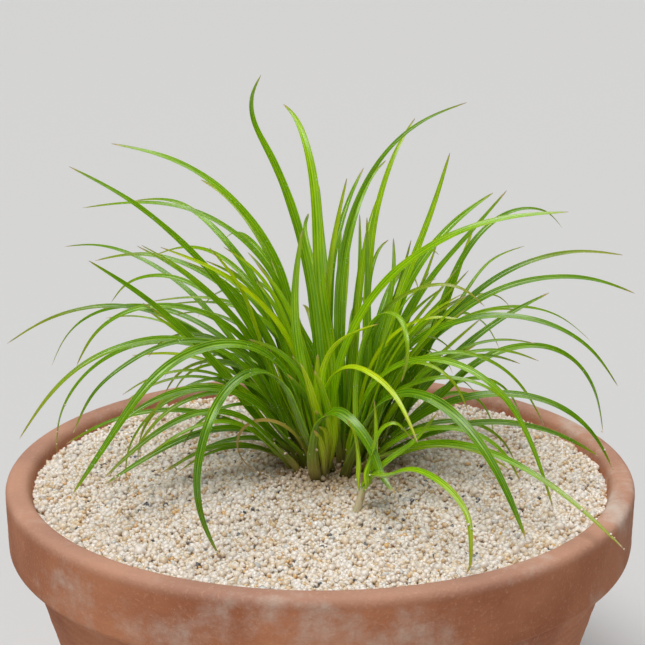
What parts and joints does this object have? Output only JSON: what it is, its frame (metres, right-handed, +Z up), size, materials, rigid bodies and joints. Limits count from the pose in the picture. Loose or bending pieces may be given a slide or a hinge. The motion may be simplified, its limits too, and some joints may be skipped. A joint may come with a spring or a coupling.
{
  "type": "potted vietnam pipewort",
  "caption": "Grassy tuft of narrow pointed leaves that arch out over coarse sand, with a small side shoot, in a plain round clay pot.",
  "frame": {"origin": "centre of the pot's flat underside", "axes": "+Z up along the pot's axis, -Y towards the plant's front as pictured, +X to the right of it"},
  "size_m": [0.1245, 0.124, 0.1383],
  "materials": {
    "clay": "matte unglazed clay",
    "sand": "coarse dry grains",
    "leaf": "satin leaf",
    "young_leaf": "satin young leaf",
    "dry_leaf": "dry papery leaf"
  },
  "bodies": {
    "root": {"pot": "clay", "sand": "sand", "tall_leaf_1": "leaf", "tall_leaf_2": "leaf", "tall_leaf_3": "leaf", "tall_leaf_4": "leaf", "tall_leaf_5": "leaf", "tall_leaf_6": "leaf", "tall_leaf_7": "leaf", "tall_leaf_8": "leaf", "arching_leaf_01": "leaf", "arching_leaf_02": "leaf", "arching_leaf_03": "leaf", "arching_leaf_04": "leaf", "arching_leaf_05": "leaf", "arching_leaf_06": "leaf", "arching_leaf_07": "leaf", "arching_leaf_08": "leaf", "arching_leaf_09": "leaf", "arching_leaf_10": "leaf", "arching_leaf_11": "leaf", "arching_leaf_12": "leaf", "arching_leaf_13": "leaf", "arching_leaf_14": "leaf", "arching_leaf_15": "leaf", "arching_leaf_16": "leaf", "arching_leaf_17": "leaf", "low_leaf_01": "leaf", "low_leaf_02": "leaf", "low_leaf_03": "leaf", "low_leaf_04": "leaf", "low_leaf_05": "leaf", "low_leaf_06": "leaf", "low_leaf_07": "leaf", "low_leaf_08": "leaf", "low_leaf_09": "leaf", "low_leaf_10": "leaf", "low_leaf_11": "leaf", "low_leaf_12": "leaf", "low_leaf_13": "leaf", "low_leaf_14": "leaf", "low_leaf_15": "leaf", "low_leaf_16": "leaf", "low_leaf_17": "leaf", "low_leaf_18": "leaf", "low_leaf_19": "leaf", "low_leaf_20": "leaf", "low_leaf_21": "leaf", "low_leaf_22": "leaf", "low_leaf_23": "leaf", "low_leaf_24": "leaf", "low_leaf_25": "leaf", "low_leaf_26": "leaf", "low_leaf_27": "dry_leaf", "heart_left": "young_leaf", "heart_front": "young_leaf", "heart_right": "young_leaf", "heart_back": "young_leaf", "side_shoot": "young_leaf", "side_shoot_leaf": "leaf"}
  },
  "joints": []
}
